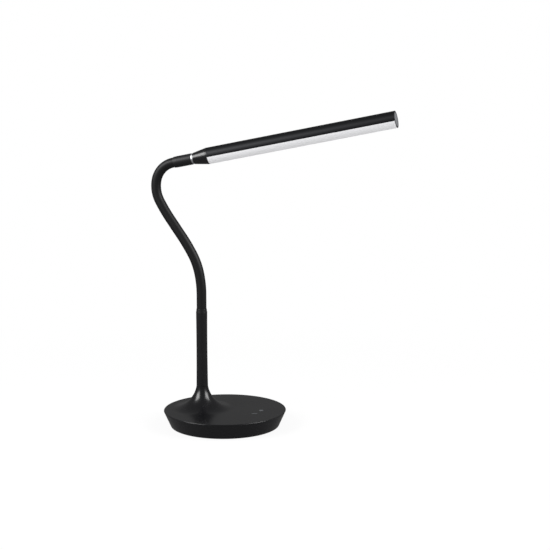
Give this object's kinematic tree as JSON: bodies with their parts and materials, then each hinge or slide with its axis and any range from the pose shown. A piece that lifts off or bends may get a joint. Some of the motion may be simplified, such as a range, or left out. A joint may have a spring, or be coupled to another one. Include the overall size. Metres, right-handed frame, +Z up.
{
  "type": "gooseneck desk lamp",
  "caption": "Desk lamp with a weighted round base, a flared foot with a short stem, a bendable gooseneck in a smooth sleeve and a slim round light bar.",
  "frame": {"origin": "centre of the round base, on the surface the lamp stands on", "axes": "+Z up, +X the way the light bar reaches; the gooseneck lies in the XZ plane"},
  "size_m": [0.3033, 0.15, 0.3863],
  "materials": {
    "cover": "moulded, satin with a soft sheen",
    "underside": "fine texture",
    "pad": "matt foam rubber",
    "steel": "zinc plated",
    "board": "solder-masked circuit board",
    "contact": "plain springy contact",
    "print": "printed mark",
    "lead": "two-core insulation",
    "brass": "turned",
    "stem": "satin black",
    "sleeve": "silicone with a soft sheen",
    "spring": "oiled spring wire",
    "chrome": "polished",
    "housing": "black anodised",
    "led_board": "white solder mask",
    "led": "phosphor under clear resin",
    "diffuser": "opal"
  },
  "bodies": {
    "base": {"base_cover": "cover", "bottom_plate": "underside", "foot_pad": "pad", "base_weight": "steel", "plate_screws": "steel", "touch_board": "board", "touch_pads": "contact", "touch_marks": "print", "board_screws": "steel", "supply_lead": "lead", "inlet_housing": "underside", "inlet_pin": "brass", "stem_tube": "stem", "stem_stud": "steel", "stem_washer": "steel", "stem_nut": "steel", "neck_root_bush": "brass", "neck_sleeve_0": "sleeve", "neck_core_0": "spring", "neck_lead_0": "lead"},
    "neck_1": {"neck_sleeve_1": "sleeve", "neck_core_1": "spring", "neck_lead_1": "lead"},
    "neck_2": {"neck_sleeve_2": "sleeve", "neck_core_2": "spring", "neck_lead_2": "lead"},
    "neck_3": {"neck_sleeve_3": "sleeve", "neck_core_3": "spring", "neck_lead_3": "lead"},
    "neck_4": {"neck_sleeve_4": "sleeve", "neck_core_4": "spring", "neck_lead_4": "lead"},
    "neck_5": {"neck_sleeve_5": "sleeve", "neck_core_5": "spring", "neck_lead_5": "lead"},
    "neck_6": {"neck_sleeve_6": "sleeve", "neck_core_6": "spring", "neck_lead_6": "lead"},
    "neck_7": {"neck_sleeve_7": "sleeve", "neck_core_7": "spring", "neck_lead_7": "lead"},
    "light_bar": {"neck_sleeve_8": "sleeve", "neck_core_8": "spring", "neck_lead_8": "lead", "neck_head_bush": "brass", "head_ferrule": "stem", "chrome_ring": "chrome", "nose_cone": "cover", "nose_screw": "steel", "head_housing": "housing", "led_board": "led_board", "leds": "led", "led_leads": "lead", "diffuser": "diffuser", "end_cap": "chrome"}
  },
  "joints": [
    {"name": "neck_nod_1", "type": "hinge", "parent": "base", "child": "neck_1", "pos_m": [-0.0293, 0, 0.1617], "axis": [0, 1, 0], "range_deg": [-25, 25]},
    {"name": "neck_sway_2", "type": "hinge", "parent": "neck_1", "child": "neck_2", "pos_m": [-0.03183, 0, 0.18703], "axis": [-0.9803, 0, -0.1977], "range_deg": [-25, 25]},
    {"name": "neck_nod_3", "type": "hinge", "parent": "neck_2", "child": "neck_3", "pos_m": [-0.04052, 0, 0.2109], "axis": [0, 1, 0], "range_deg": [-25, 25]},
    {"name": "neck_sway_4", "type": "hinge", "parent": "neck_3", "child": "neck_4", "pos_m": [-0.05398, 0, 0.23254], "axis": [-0.8171, 0, -0.5764], "range_deg": [-25, 25]},
    {"name": "neck_nod_5", "type": "hinge", "parent": "neck_4", "child": "neck_5", "pos_m": [-0.06868, 0, 0.25338], "axis": [0, 1, 0], "range_deg": [-25, 25]},
    {"name": "neck_sway_6", "type": "hinge", "parent": "neck_5", "child": "neck_6", "pos_m": [-0.08204, 0, 0.27508], "axis": [-0.8829, 0, -0.4695], "range_deg": [-25, 25]},
    {"name": "neck_nod_7", "type": "hinge", "parent": "neck_6", "child": "neck_7", "pos_m": [-0.08591, 0, 0.29981], "axis": [0, 1, 0], "range_deg": [-25, 10]},
    {"name": "neck_sway_8", "type": "hinge", "parent": "neck_7", "child": "light_bar", "pos_m": [-0.07118, 0, 0.31951], "axis": [-0.4478, 0, 0.8942], "range_deg": [-25, 25]}
  ]
}
